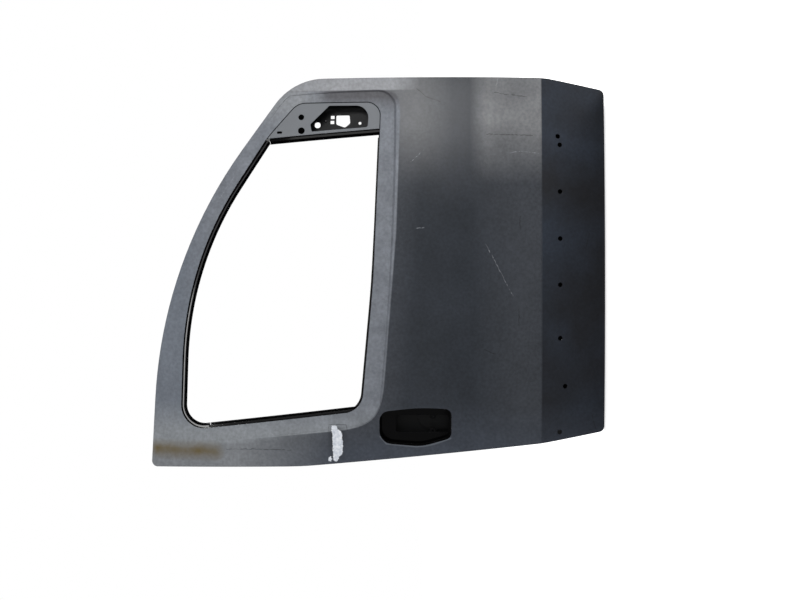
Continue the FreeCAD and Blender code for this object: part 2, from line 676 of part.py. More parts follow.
def belt_inner():
    """Hat strip on the glass side of the inner panel's belt edge."""
    far = FRAME_DEPTH - INNER_SHEET - LAP_GAP
    near = far - 13.0
    sheet = INNER_SHEET
    rise = INNER_BELT_RISE
    hat = belt_strip(-152.0, -955.0, rise - 46.0, rise - 3.0).common(side_slab(near, far))
    hollow = belt_strip(-140.0, -965.0, rise - 36.0, rise - 3.0 - sheet).common(side_slab(near + sheet, far + 2.0))
    lower = belt_strip(-140.0, -965.0, rise - 50.0, rise - 36.0 - sheet).common(side_slab(near - 2.0, far - sheet))
    return hat.cut(hollow).cut(lower)


def handle_bowl():
    outer = prism(HANDLE, LAP_GAP).common(side_slab(1.0, BOWL_DEPTH))
    hollow = prism(HANDLE, LAP_GAP + INNER_SHEET).common(side_slab(-4.0, BOWL_DEPTH - INNER_SHEET))
    return outer.cut(hollow).cut(prism(BOWL_HOLE))


def handle_bracket():
    """Frame behind the bowl with two drilled ears reaching into its window."""
    near = BOWL_DEPTH + LAP_GAP
    layer = side_slab(near, near + 2.0)
    frame = prism(HANDLE, 8.0).cut(prism(BOWL_HOLE, -2.0))
    for x, way in ((BOWL_HOLE_FRONT_X, -1.0), (BOWL_HOLE_REAR_X, 1.0)):
        ear = [(x - way * 6.0, EAR_Z + 11.0, 1.0), (x + way * 12.0, EAR_Z + 8.0, 6.0)]
        ear += [(x + way * 12.0, EAR_Z - 8.0, 6.0), (x - way * 6.0, EAR_Z - 11.0, 1.0)]
        hole = Part.makeCylinder(EAR_HOLE / 2.0, 2.0 * FAR, Vector(x + way * 4.0, -FAR, EAR_Z), Vector(0, 1, 0))
        frame = frame.fuse(prism(ear)).cut(hole)
    return frame.common(layer)


def beam_z(x):
    return BEAM_FRONT_Z + (BEAM_REAR_Z - BEAM_FRONT_Z) * x / BEAM_END_X


def beam_strip(half, x0, x1):
    return strip([(x0, beam_z(x0) + half), (x1, beam_z(x1) + half), (x1, beam_z(x1) - half),
                  (x0, beam_z(x0) - half)])


def impact_beam():
    """Hat pressing that follows the bow of the skin."""
    far = BEAM_SET + BEAM_DEPTH
    half = BEAM_HEIGHT / 2.0
    crown = beam_strip(half, BEAM_START_X, BEAM_END_X).common(side_slab(BEAM_SET, far))
    hollow = beam_strip(half - BEAM_SHEET, 0.0, BEAM_END_X - 20.0).common(side_slab(BEAM_SET - 2.0, far - BEAM_SHEET))
    brim = beam_strip(half + 12.0, BEAM_START_X, BEAM_END_X).common(side_slab(BEAM_SET, BEAM_SET + BEAM_SHEET))
    return crown.fuse(brim).cut(hollow)


def front_bracket():
    """Angle from the beam crown to the hinge wall."""
    near = BEAM_SET + BEAM_DEPTH + LAP_GAP
    half = BEAM_HEIGHT / 2.0 - 3.0
    back = WALL_X - INNER_SHEET - LAP_GAP
    tongue = beam_strip(half, back, -95.0).common(side_slab(near, near + BEAM_SHEET))
    foot = beam_strip(half, back, back - BEAM_SHEET).common(side_slab(near, near + 34.0))
    return tongue.fuse(foot)


def rear_bracket():
    """Angle from the beam crown to the latch wall."""
    near = BEAM_SET + BEAM_DEPTH + LAP_GAP
    half = BEAM_HEIGHT / 2.0 - 3.0
    inset = WALL_INSET + INNER_SHEET + LAP_GAP
    z = BEAM_REAR_Z
    inside = wall_strip(z + 120.0, z - 120.0, -FAR, FAR, inset, inset + 400.0)
    tongue = beam_strip(half, BEAM_END_X + 90.0, BEAM_END_X - 60.0).common(side_slab(near, near + BEAM_SHEET))
    foot = wall_strip(z + half, z - half, -FAR, FAR, inset, inset + BEAM_SHEET)
    return tongue.common(inside).fuse(foot.common(side_slab(near, near + 34.0)))


def hinge_plate(z):
    back = -INNER_SHEET - LAP_GAP
    plate = box(back - PLATE_SHEET, back, HINGE_Y - 30.0, HINGE_Y + 34.0, z - 52.0, z + 52.0)
    return plate.cut(hinge_holes(z))


def strap_plate():
    back = WALL_X - INNER_SHEET - LAP_GAP
    plate = box(back - PLATE_SHEET, back, HINGE_Y - 26.0, HINGE_Y + 26.0, STRAP_Z - 52.0, STRAP_Z + 52.0)
    return plate.cut(strap_holes())


def latch_plate():
    inset = WALL_INSET + INNER_SHEET + LAP_GAP
    plate = wall_strip(LATCH_Z + 52.0, LATCH_Z - 46.0, LATCH_Y - 40.0, FACE_Y - 6.0, inset, inset + PLATE_SHEET)
    return plate.cut(latch_holes())


NODES = {}


def keep(name, shape):
    solids = shape.Solids
    print(name, "solids", len(solids), "valid", shape.isValid(), "volume", round(shape.Volume))
    NODES[name] = max(solids, key=lambda s: s.Volume)


keep("outer_skin", outer_skin())
inner = inner_panel()
seam_front = SHOULDER_FRONT_Z + FRAME_SEAM_RISE
seam_rear = SHOULDER_REAR_Z + FRAME_SEAM_RISE
lower = inner.common(below_line(seam_front, seam_rear))
main = lower.cut(panel_block(SPEAKER_PANEL, LAP_GAP)).cut(panel_block(LATCH_PANEL, LAP_GAP))
keep("inner_panel", main.cut(box(HINGE_SEAM_X - LAP_GAP, 100.0, -FAR, FAR, -900.0, 300.0)))
keep("hinge_wall_panel", lower.common(box(HINGE_SEAM_X, 100.0, -FAR, FAR, -900.0, 300.0)))
keep("speaker_mount_panel", lower.common(panel_block(SPEAKER_PANEL, 0.0)))
keep("latch_service_panel", lower.common(panel_block(LATCH_PANEL, 0.0)))
keep("inner_window_frame", inner.cut(below_line(seam_front + LAP_GAP, seam_rear + LAP_GAP)))
keep("mirror_mount_plate", mirror_plate())
keep("mirror_reinforcement", mirror_back())
keep("upper_glass_channel", upper_channel())
keep("rear_glass_channel", straight_channel(rear_x, UPPER_CHANNEL_END_Z - 2.0, REAR_CHANNEL_FOOT_Z, 1.0))
keep("front_glass_channel", straight_channel(bar_x, WINDOW_PILLAR_Z - 6.0, FRONT_CHANNEL_FOOT_Z, -1.0))
keep("outer_belt_reinforcement", belt_outer())
keep("inner_belt_reinforcement", belt_inner())
keep("handle_bowl", handle_bowl())
keep("handle_bracket", handle_bracket())
keep("side_impact_beam", impact_beam())
keep("front_beam_bracket", front_bracket())
keep("rear_beam_bracket", rear_bracket())
keep("upper_hinge_reinforcement", hinge_plate(0.0))
keep("lower_hinge_reinforcement", hinge_plate(-HINGE_DROP))
keep("check_strap_reinforcement", strap_plate())
keep("latch_reinforcement", latch_plate())

os.makedirs("parts", exist_ok=True)
for name, solid in NODES.items():
    solid.exportStep("parts/" + name + ".step")
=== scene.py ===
# %% [markdown]
# # A bare van front door
# The object is a pressed-steel right front door with everything screwed off it: an outer skin hemmed
# over an inner panel, a few reinforcements between them, and black glass channels round the window.
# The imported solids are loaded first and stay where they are. This file adds finishes, small pieces
# that a press shop leaves behind, a floor, light and a camera.

import math
from functools import partial

import bpy
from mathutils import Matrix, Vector


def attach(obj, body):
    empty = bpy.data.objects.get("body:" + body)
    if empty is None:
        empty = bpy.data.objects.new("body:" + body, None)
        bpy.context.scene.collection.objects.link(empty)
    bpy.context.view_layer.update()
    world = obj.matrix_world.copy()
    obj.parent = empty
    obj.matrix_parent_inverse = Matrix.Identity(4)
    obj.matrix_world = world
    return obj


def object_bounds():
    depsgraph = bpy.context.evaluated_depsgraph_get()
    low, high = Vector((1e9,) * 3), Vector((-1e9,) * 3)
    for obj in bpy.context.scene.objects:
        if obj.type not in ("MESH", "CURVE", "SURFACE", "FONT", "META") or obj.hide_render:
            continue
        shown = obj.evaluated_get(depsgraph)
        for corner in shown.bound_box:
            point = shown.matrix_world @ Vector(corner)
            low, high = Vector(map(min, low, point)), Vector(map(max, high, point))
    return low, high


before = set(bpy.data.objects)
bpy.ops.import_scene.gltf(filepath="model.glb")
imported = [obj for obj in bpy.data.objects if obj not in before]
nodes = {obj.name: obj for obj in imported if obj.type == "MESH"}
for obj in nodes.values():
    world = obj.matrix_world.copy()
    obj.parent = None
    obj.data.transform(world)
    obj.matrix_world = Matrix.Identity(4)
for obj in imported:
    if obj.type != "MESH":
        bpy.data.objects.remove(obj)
cad_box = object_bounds()
MM = 0.001
print("CAD box in metres:", cad_box)

# %% [markdown]
# ## Two small helpers
# A shader is a chain of nodes. One function adds a node, sets its options, and fills its sockets,
# linking those that are given another node's output. A second one turns the sRGB colours that
# painters write as hex into the linear values that a renderer adds up.

# %% Node and colour helpers
def add(tree, kind, inputs=None, output=0, **options):
    """Adds a shader node; inputs maps a socket's name or number to a value or another node's output."""
    made = tree.nodes.new("ShaderNode" + kind)
    for name, value in options.items():
        setattr(made, name, value)
    for name, value in (inputs or {}).items():
        if isinstance(value, bpy.types.NodeSocket):
            tree.links.new(value, made.inputs[name])
        else:
            made.inputs[name].default_value = value
    return made.outputs[output]


def linear(hex_colour):
    """An sRGB hex colour as linear red, green, blue and alpha."""
    channels = []
    for start in (1, 3, 5):
        value = int(hex_colour[start:start + 2], 16) / 255.0
        channels.append(value / 12.92 if value <= 0.04045 else ((value + 0.055) / 1.055) ** 2.4)
    return (*channels, 1.0)


def new_material(name):
    """A fresh material, its Principled shader, and the helper above bound to its nodes."""
    material = bpy.data.materials.new(name)
    material.use_nodes = True
    tree = material.node_tree
    return material, tree.nodes["Principled BSDF"], partial(add, tree)


def paint(material, *names):
    """Puts a material on CAD nodes."""
    for name in names:
        slots = nodes[name].data.materials
        slots.clear()
        slots.append(material)
    print(material.name, "on", len(names), "nodes")


print("sRGB #808080 is %.3f in linear light" % linear("#808080")[0])


# %% [markdown]
# ## Marks on the skin
# The skin has been handled without care: brushed white paint, rust that ran, scratches down to the
# zinc. Each is a stroke between two points of the door's side view, so one small chain of nodes that
# measures the distance to a line serves them all. The same chain, asked only for the side of the line,
# tells the window band from the panel below it.

# %% Strokes
def stroke(node, flat, start, end, half_mm, soft_mm):
    """1 on the line from start to end, in millimetres of the side view, and 0 away from it."""
    along = Vector((end[0] - start[0], 0.0, end[1] - start[1])) * MM
    origin = Vector((start[0], 0.0, start[1])) * MM
    offset = node("VectorMath", {0: flat, 1: origin}, operation="SUBTRACT")
    per_length = along / along.length_squared
    share = node("VectorMath", {0: offset, 1: per_length}, "Value", operation="DOT_PRODUCT")
    share = node("Clamp", {"Value": share})
    nearest = node("VectorMath", {0: along, "Scale": share}, operation="SCALE")
    away = node("VectorMath", {0: offset, 1: nearest}, "Value", operation="DISTANCE")
    return node("MapRange", {0: away, 1: half_mm * MM, 2: (half_mm + soft_mm) * MM, 3: 1.0, 4: 0.0})


def strokes(node, flat, lines, half_mm, soft_mm):
    """The strongest of several strokes."""
    total = 0.0
    for start, end in lines:
        one = stroke(node, flat, start, end, half_mm, soft_mm)
        total = node("Math", {0: one, 1: total}, operation="MAXIMUM")
    return total


def beyond(node, flat, start, end):
    """Distance in metres to the left of the line from start to end, seen from outside."""
    along = Vector((end[0] - start[0], end[1] - start[1])).normalized()
    origin = Vector((start[0], 0.0, start[1])) * MM
    offset = node("VectorMath", {0: flat, 1: origin}, operation="SUBTRACT")
    return node("VectorMath", {0: offset, 1: (-along.y, 0.0, along.x)}, "Value", operation="DOT_PRODUCT")


print("1 mm of a stroke is", MM, "m of the frame")

# %% [markdown]
# ## The skin's finish
# Pressed steel is dipped in a thin dark grey electro-coat, which handling then scuffs. What the eye gets
# is a near-black grey with a broad, soft sheen where a lamp is mirrored; near the hinge edge and along
# the belt part of that sheen is painted into the colour. The finish is built up as a painter would:
# first the places, then tone on tone, then the marks.

# %% Places on the skin
WAVE_MM, WAVE_REACH_MM = 17.0, 8.0
CLOUD_MM, SMEAR_MM, SPECK_MM = 260.0, 60.0, 7.0
# Scuffed electro-coat gives the eye a near-black grey with a broad, soft sheen, partly from the lamps
# and partly painted.
skin_coat, skin_shader, node = new_material("scuffed_electrocoat")
place = node("TexCoord", None, "Object")
flat = node("VectorMath", {0: place, 1: (1.0, 0.0, 1.0)}, operation="MULTIPLY")
height = node("SeparateXYZ", {0: place}, "Z")
ahead = node("SeparateXYZ", {0: place}, "X")
# A hand never draws a straight edge: short waves push each mark about by a few millimetres.
waves = node("TexNoise", {"Vector": place, "Scale": 1.0 / (WAVE_MM * MM), "Detail": 3.0}, "Color")
waves = node("VectorMath", {0: waves, 1: (0.5, 0.5, 0.5)}, operation="SUBTRACT")
waves = node("VectorMath", {0: waves, "Scale": WAVE_REACH_MM * MM}, operation="SCALE")
ragged = node("VectorMath", {0: flat, 1: waves}, operation="ADD")
# Clouds are uneven dipping, smears are rag marks, specks are grit; each is as wide as it is on the door.
cloud = node("TexNoise", {"Vector": place, "Scale": 1.0 / (CLOUD_MM * MM), "Detail": 5.0})
smear = node("TexNoise", {"Vector": place, "Scale": 1.0 / (SMEAR_MM * MM), "Detail": 4.0})
speck = node("TexNoise", {"Vector": place, "Scale": 1.0 / (SPECK_MM * MM), "Detail": 2.0})
facing = node("SeparateXYZ", {0: node("NewGeometry", None, "Normal")}, "Y")
outward = node("MapRange", {0: facing, 1: -0.55, 2: -0.85})
print("skin finish starts with", len(skin_coat.node_tree.nodes), "nodes")

# %% [markdown]
# The lower panel is darkest. Near the hinge edge it is painted lighter, low down and just below the
# belt:
# a painted sheen, the lamp's reflection drawn into the colour. It is also lighter towards the crease and
# towards the latch edge. Below the crease the door turns under, and the colour there is darker.

# %% Panel tone
CREASE_MM = -387.0
tone = node("MapRange", {0: cloud, 1: 0.35, 2: 0.7})
base = node("Mix", {0: tone, 6: linear("#24282e"), 7: linear("#2c3037")}, 2, data_type="RGBA")
# The panel is painted lighter towards the crease.
lighter_to_crease = node("MapRange", {0: height, 1: -180.0 * MM, 2: -340.0 * MM, 3: 0.0, 4: 0.6})
base = node("Mix", {0: lighter_to_crease, 6: base, 7: linear("#3c3f45")}, 2, data_type="RGBA")
hinge_side = node("MapRange", {0: ahead, 1: -300.0 * MM, 2: -110.0 * MM})
low_side = node("MapRange", {0: height, 1: -170.0 * MM, 2: -225.0 * MM})
patchy = node("MapRange", {0: cloud, 1: 0.3, 2: 0.6, 3: 0.6, 4: 1.0})
# Painted sheen: lighter low on the panel near the hinge edge, standing in for the lamp's reflection.
painted_sheen = node("Math", {0: hinge_side, 1: low_side}, operation="MULTIPLY")
painted_sheen = node("Math", {0: painted_sheen, 1: patchy}, operation="MULTIPLY")
base = node("Mix", {0: painted_sheen, 6: base, 7: linear("#717274")}, 2, data_type="RGBA")
# Painted sheen: lighter just below the belt near the hinge edge, where the lamp is mirrored.
painted_corner_sheen = node("MapRange", {0: height, 1: -120.0 * MM, 2: 30.0 * MM})
painted_corner_sheen = node("Math", {0: painted_corner_sheen, 1: hinge_side}, operation="MULTIPLY")
base = node("Mix", {0: painted_corner_sheen, 6: base, 7: linear("#5f6062")}, 2, data_type="RGBA")
latch_side = node("MapRange", {0: ahead, 1: -960.0 * MM, 2: -1100.0 * MM})
base = node("Mix", {0: latch_side, 6: base, 7: linear("#3a3f48")}, 2, data_type="RGBA")
low = node("MapRange", {0: height, 1: (CREASE_MM + 1.0) * MM, 2: (CREASE_MM - 3.0) * MM})
stained = node("MapRange", {0: cloud, 1: 0.35, 2: 0.65})
under = node("Mix", {0: stained, 6: linear("#17181c"), 7: linear("#242a34")}, 2, data_type="RGBA")
under = node("Mix", {0: latch_side, 6: under, 7: linear("#2e333c")}, 2, data_type="RGBA")
print("panel tone reaches", len(skin_coat.node_tree.nodes), "nodes")

# %% [markdown]
# Round the window runs a recessed band, rubbed to a lighter grey than the panel. Four lines mark the
# foot of its step. Taking the least of the four distances gives the band, and a smooth minimum rounds
# its corners as the press tool does. Just outside the band, mostly along the belt, the panel carries a
# painted sheen, the room's reflection drawn into the colour. The roof side is duller and a shade darker
# near the roof edge, the frame is lighter towards the rear edge, the strips behind and ahead of the band
# are a shade darker, and the rim at the hinge edge is lighter.

# %% Window band
BELT_REAR = ((-889, 86.8), (-467, 53.6))
BELT_AHEAD = ((-467, 52.7), (-225, 44.5))
BAND_FRONT = ((-12, 100), (-12, 500))
BAND_REAR = ((-1083, 565), (-1041, 200))
FRONT_ROUND_MM, REAR_ROUND_MM = 90.0, 160.0
front = beyond(node, flat, *BAND_FRONT)
rear = beyond(node, flat, *BAND_REAR)
belt_rear = beyond(node, flat, *BELT_REAR)
belt_ahead = beyond(node, flat, *BELT_AHEAD)
inside = node("Math", {0: belt_rear, 1: belt_ahead}, operation="MINIMUM")
inside = node("Math", {0: inside, 1: front, 2: FRONT_ROUND_MM * MM}, operation="SMOOTH_MIN")
inside = node("Math", {0: inside, 1: rear, 2: REAR_ROUND_MM * MM}, operation="SMOOTH_MIN")
# Painted sheen: a strip just outside the band, mostly below the belt, is lighter where the panel mirrors
# the room.
painted_belt_sheen = node("MapRange", {0: inside, 1: -70.0 * MM, 2: 0.0, 3: 0.0, 4: 0.7})
base = node("Mix", {0: painted_belt_sheen, 6: base, 7: linear("#3a3d43")}, 2, data_type="RGBA")
base = node("Mix", {0: low, 6: base, 7: under}, 2, data_type="RGBA")
band = node("MapRange", {0: inside, 1: -2.0 * MM, 2: 2.0 * MM})
roof_side = node("MapRange", {0: height, 1: 240.0 * MM, 2: 540.0 * MM})
band = node("Math", {0: band, 1: roof_side}, operation="MAXIMUM")
rag = node("MapRange", {0: smear, 1: 0.3, 2: 0.7})
grey = node("Mix", {0: rag, 6: linear("#696d74"), 7: linear("#757980")}, 2, data_type="RGBA")
# The frame is painted darker near the roof edge.
roof_edge_darker = node("MapRange", {0: height, 1: 600.0 * MM, 2: 720.0 * MM})
grey = node("Mix", {0: roof_edge_darker, 6: grey, 7: linear("#646a73")}, 2, data_type="RGBA")
# The frame is painted lighter towards the rear edge.
rear_edge_lighter = node("MapRange", {0: ahead, 1: -960.0 * MM, 2: -1060.0 * MM, 3: 0.0, 4: 0.9})
grey = node("Mix", {0: rear_edge_lighter, 6: grey, 7: linear("#82868a")}, 2, data_type="RGBA")
rear_strip = node("MapRange", {0: rear, 1: 0.0, 2: -12.0 * MM})
grey = node("Mix", {0: rear_strip, 6: grey, 7: linear("#74777b")}, 2, data_type="RGBA")
hinge_strip = node("MapRange", {0: front, 1: 60.0 * MM, 2: 20.0 * MM})
below_pillar = node("MapRange", {0: height, 1: 320.0 * MM, 2: 250.0 * MM})
strip = node("Math", {0: hinge_strip, 1: below_pillar}, operation="MULTIPLY")
grey = node("Mix", {0: strip, 6: grey, 7: linear("#4f4f53")}, 2, data_type="RGBA")
pillar_top = node("MapRange", {0: front, 1: 120.0 * MM, 2: 40.0 * MM})
above = node("MapRange", {0: height, 1: 270.0 * MM, 2: 340.0 * MM})
pillar_top = node("Math", {0: pillar_top, 1: above}, operation="MULTIPLY")
grey = node("Mix", {0: pillar_top, 6: grey, 7: linear("#7e8185")}, 2, data_type="RGBA")
base = node("Mix", {0: band, 6: base, 7: grey}, 2, data_type="RGBA")
rim = node("MapRange", {0: front, 1: 2.0 * MM, 2: -2.0 * MM})
rim_height = node("MapRange", {0: height, 1: -20.0 * MM, 2: 60.0 * MM})
rim = node("Math", {0: rim, 1: rim_height}, operation="MULTIPLY")
base = node("Mix", {0: rim, 6: base, 7: linear("#808286")}, 2, data_type="RGBA")
print("window band reaches", len(skin_coat.node_tree.nodes), "nodes")

# %% [markdown]
# Grit and rags leave a fine grain over everything. Scratches follow: dark ones are dirt in a groove,
# bright ones are bare zinc, broken up by specks so that they read as a dragged edge. They are drawn two
# or three millimetres wide, coarser than real scratches, so that they show in the picture.

# %% Grain and scratches
BRIGHT_SCRATCHES = [
    ((-265, 544), (-350, 605)), ((22, -256), (-5, -250)),
    ((-205, -287), (-199, -333)), ((-199, -333), (-205, -379)),
    ((-195, -32), (-232, 8)), ((-434, -8), (-431, -32)),
    ((-479, -216), (-573, -267)), ((-573, -267), (-636, -300)),
]
DARK_SCRATCHES = [
    ((-8, -11), (-33, -38)), ((-33, -38), (-48, -80)), ((-21, -246), (-33, -343)),
    ((-148, -222), (-151, -361)), ((-395, -321), (-437, -321)), ((-675, -317), (-723, -317)),
    ((-797, -213), (-811, -249)), ((-446, -535), (-488, -526)), ((-1000, -545), (-1045, -560)),
    ((-1107, 575), (-1105, 480)), ((-1105, 480), (-1105, 372)),
    ((-1026, 257), (-1026, 201)), ((-1026, 257), (-1045, 257)), ((-1026, 201), (-1042, 201)),
]
GRIT_MM = 9.0
grit = node("TexNoise", {"Vector": place, "Scale": 1.0 / (GRIT_MM * MM), "Detail": 3.0})
fine = node("MapRange", {0: grit, 1: 0.3, 2: 0.7, 3: 0.86, 4: 1.14})
coarse = node("MapRange", {0: smear, 1: 0.3, 2: 0.7, 3: 0.92, 4: 1.08})
grain = node("Math", {0: fine, 1: coarse}, operation="MULTIPLY")
base = node("VectorMath", {0: base, "Scale": grain}, operation="SCALE")
dark = strokes(node, ragged, DARK_SCRATCHES, 0.6, 1.2)
dark = node("Math", {0: dark, 1: 0.6}, operation="MULTIPLY")
base = node("Mix", {0: dark, 6: base, 7: linear("#141517")}, 2, data_type="RGBA")
broken = node("MapRange", {0: speck, 1: 0.35, 2: 0.7, 3: 0.0, 4: 0.5})
bright = strokes(node, ragged, BRIGHT_SCRATCHES, 0.5, 1.0)
bright = node("Math", {0: bright, 1: broken}, operation="MULTIPLY")
base = node("Mix", {0: bright, 6: base, 7: linear("#a9adb3")}, 2, data_type="RGBA")
print(len(BRIGHT_SCRATCHES) + len(DARK_SCRATCHES), "scratches")

# %% [markdown]
# A thin pale line follows the lower rim of the handle opening: a painted highlight, the light on the
# rolled edge. It is drawn here in the coat, as a chain of strokes along the rim.

# %% Handle rim
RIM_POINTS = [(-1061, 99), (-1082, 81), (-1090, -9), (-1088, -35), (-1082, -64), (-1065, -112)]
# Painted highlight along the lower rim of the handle opening.
painted_rim_highlight = strokes(node, flat, list(zip(RIM_POINTS, RIM_POINTS[1:])), 0.8, 3.0)
painted_rim_highlight = node("Math", {0: painted_rim_highlight, 1: 0.5}, operation="MULTIPLY")
base = node("Mix", {0: painted_rim_highlight, 6: base, 7: linear("#6a7078")}, 2, data_type="RGBA")
print(len(RIM_POINTS) - 1, "strokes along the handle rim")

# %% [markdown]
# Rust has run down from the roof corner as a soft brown stain. Beside the handle somebody wiped a brush
# of white paint over a taped patch: thick in the middle, ragged at the rim, with one dab beside it.

# %% Rust and brushed paint
RUST_RUN = ((-1113, 798), (-1114, 612))
PAINT_WIPES = [(((-1036, 240), (-1060, 233)), 9.0), (((-1056, 230), (-1108, 229)), 15.0),
               (((-1100, 232), (-1128, 234)), 9.0), (((-1129, 252), (-1133, 253)), 5.0)]
TAPED_PATCH = ((-1056, 230), (-1108, 229))
RAGGED_MM = 4.0
BRISTLE_MM = 4.0
uneven = node("MapRange", {0: smear, 1: 0.3, 2: 0.6, 3: 0.6, 4: 1.0})
rust = node("Math", {0: stroke(node, ragged, *RUST_RUN, 3.0, 32.0), 1: uneven}, operation="MULTIPLY")
base = node("Mix", {0: rust, 6: base, 7: linear("#5a4d2e")}, 2, data_type="RGBA")
taped = node("MapRange", {0: smear, 1: 0.35, 2: 0.6, 3: 0.0, 4: 0.5})
taped = node("Math", {0: stroke(node, ragged, *TAPED_PATCH, 18.0, 14.0), 1: taped}, operation="MULTIPLY")
base = node("Mix", {0: taped, 6: base, 7: linear("#222428")}, 2, data_type="RGBA")
white = 0.0
for wipe, half_mm in PAINT_WIPES:
    one = stroke(node, ragged, *wipe, half_mm - RAGGED_MM, 2.0 * RAGGED_MM)
    white = node("Math", {0: one, 1: white}, operation="MAXIMUM")
# Bristles are further apart here than on a real brush, so that they show in the picture.
bristle = node("TexNoise", {"Vector": place, "Scale": 1.0 / (BRISTLE_MM * MM), "Detail": 2.0})
white = node("Math", {0: white, 1: bristle}, operation="ADD")
white = node("MapRange", {0: white, 1: 0.92, 2: 1.06})
brushed = node("MapRange", {0: grit, 1: 0.35, 2: 0.65})
brushed = node("Mix", {0: brushed, 6: linear("#c0c6d0"), 7: linear("#e4e7ec")}, 2, data_type="RGBA")
base = node("Mix", {0: white, 6: base, 7: brushed}, 2, data_type="RGBA")
print("one rust run and", len(PAINT_WIPES), "wipes of paint")

# %% [markdown]
# Walls of the openings and the hem, turned away from the outer face, were never scuffed and stay wet
# black. Only the step round the band is scuffed like its surroundings. The band and the underside are
# duller than the panel, and the paint stands up in lumps.

# %% Gloss and relief
PEEL_MM, SKIN_ROLL_MM, BUMP_MM = 2.0, 3.0, 3.0
step = node("Math", {0: inside}, operation="ABSOLUTE")
step = node("MapRange", {0: step, 1: 26.0 * MM, 2: 18.0 * MM})
scuffed = node("Math", {0: outward, 1: step}, operation="MAXIMUM")
base = node("Mix", {0: scuffed, 6: linear("#0b0c0e"), 7: base}, 2, data_type="RGBA")
dull = node("MapRange", {0: cloud, 1: 0.3, 2: 0.75, 3: 0.2, 4: 0.26})
duller = node("Math", {0: low, 1: band}, operation="MAXIMUM")
dull = node("Math", {0: duller, 1: 0.22, 2: dull}, operation="MULTIPLY_ADD")
wet = node("MapRange", {0: scuffed, 1: 0.0, 2: 1.0, 3: 0.4, 4: 1.0})
dull = node("Math", {0: dull, 1: wet}, operation="MULTIPLY")
lumps = node("Math", {0: white, 1: grit}, operation="MULTIPLY")
# Orange peel, the fine ripple of a dipped coat.
peel = node("TexNoise", {"Vector": place, "Scale": 1.0 / (PEEL_MM * MM), "Detail": 2.0})
relief = node("Math", {0: peel, 1: 0.01, 2: lumps}, operation="MULTIPLY_ADD")
rolled = node("Bevel", {"Radius": SKIN_ROLL_MM * MM}, samples=6)
bumps = node("Bump", {"Height": relief, "Strength": 0.6, "Distance": BUMP_MM * MM, "Normal": rolled})
skin_links = skin_coat.node_tree.links
skin_links.new(base, skin_shader.inputs["Base Color"])
skin_links.new(dull, skin_shader.inputs["Roughness"])
skin_links.new(bumps, skin_shader.inputs["Normal"])
skin_shader.inputs["Specular IOR Level"].default_value = 0.2
paint(skin_coat, "outer_skin")

# %% [markdown]
# ## The other coats
# Everything behind the skin wears the same dip without the scuffs: satin grey on the inner panel, wet
# black on the glass channels, and lighter on the mirror plate, which was rubbed down. Faces of the inner
# parts that look into the hollow door are painted nearly black, as painted shade. One short recipe with
# a cloudy tone serves them all, and rolled edges catch a thin light.

# %% Plain electro-coats
COAT_CLOUD_MM, COAT_ROLL_MM = 120.0, 1.5
THIN_SHARE = 0.62


def coat(name, colour, hollow_shade_colour, dull_low, dull_high, shine):
    """Electro-coat with uneven tone and gloss; faces that look out of the door take their own colour,
    painted shade on the inner panel.
    """
    material, shader, node = new_material(name)
    place = node("TexCoord", None, "Object")
    cloud = node("TexNoise", {"Vector": place, "Scale": 1.0 / (COAT_CLOUD_MM * MM), "Detail": 4.0})
    cloud = node("MapRange", {0: cloud, 1: 0.3, 2: 0.7})
    thin = tuple(THIN_SHARE * value for value in linear(colour)[:3]) + (1.0,)
    tone = node("Mix", {0: cloud, 6: thin, 7: linear(colour)}, 2, data_type="RGBA")
    facing = node("SeparateXYZ", {0: node("NewGeometry", None, "Normal")}, "Y")
    outward = node("MapRange", {0: facing, 1: -0.1, 2: -0.6})
    # On the inner panel this colour is painted shade for faces inside the hollow door.
    tone = node("Mix", {0: outward, 6: tone, 7: linear(hollow_shade_colour)}, 2, data_type="RGBA")
    dull = node("MapRange", {0: cloud, 3: dull_low, 4: dull_high})
    rolled = node("Bevel", {"Radius": COAT_ROLL_MM * MM}, samples=6)
    material.node_tree.links.new(tone, shader.inputs["Base Color"])
    material.node_tree.links.new(dull, shader.inputs["Roughness"])
    material.node_tree.links.new(rolled, shader.inputs["Normal"])
    shader.inputs["Specular IOR Level"].default_value = shine
    return material


# Rubbed-down coat: a pale, flat grey with hardly any sheen.
plate_coat = coat("rubbed_plate_coat", "#73767a", "#73767a", 0.4, 0.5, 0.1)
# Satin electro-coat: a quiet dark grey; faces that look into the hollow door are painted nearly black as
# painted shade.
inner_coat = coat("satin_electrocoat", "#3d4146", "#0b0c0d", 0.32, 0.44, 0.12)
# Gloss black: a dark line with faint reflections in it.
gloss_coat = coat("gloss_black_coat", "#030304", "#030304", 0.1, 0.16, 0.15)
# Polished black: glossier still, so that the lip of the roof channel shows as a thin pale line.
polished_coat = coat("polished_black_coat", "#030305", "#030305", 0.08, 0.12, 0.6)
# Shaded black: reads as a deep hollow, since it gives back almost no light.
bowl_coat = coat("shaded_black_coat", "#020203", "#020203", 0.05, 0.09, 0.05)
paint(plate_coat, "mirror_mount_plate")
paint(gloss_coat, "rear_glass_channel")
paint(polished_coat, "upper_glass_channel")
paint(bowl_coat, "front_glass_channel", "handle_bowl", "handle_bracket")
paint(inner_coat, "inner_panel", "hinge_wall_panel", "inner_window_frame", "speaker_mount_panel",
      "latch_service_panel", "mirror_reinforcement", "outer_belt_reinforcement",
      "inner_belt_reinforcement", "side_impact_beam", "front_beam_bracket", "rear_beam_bracket",
      "upper_hinge_reinforcement", "lower_hinge_reinforcement", "check_strap_reinforcement",
      "latch_reinforcement")

# %% [markdown]
# ## Where the door's edge runs
# The hem folds the skin's rim over the flange of the inner panel, so both follow the door's outline.
# Looking outward from the middle of the door, the last place where a ray still strikes the skin is that
# outline. Measuring it on the solids keeps the small pieces below true to them.

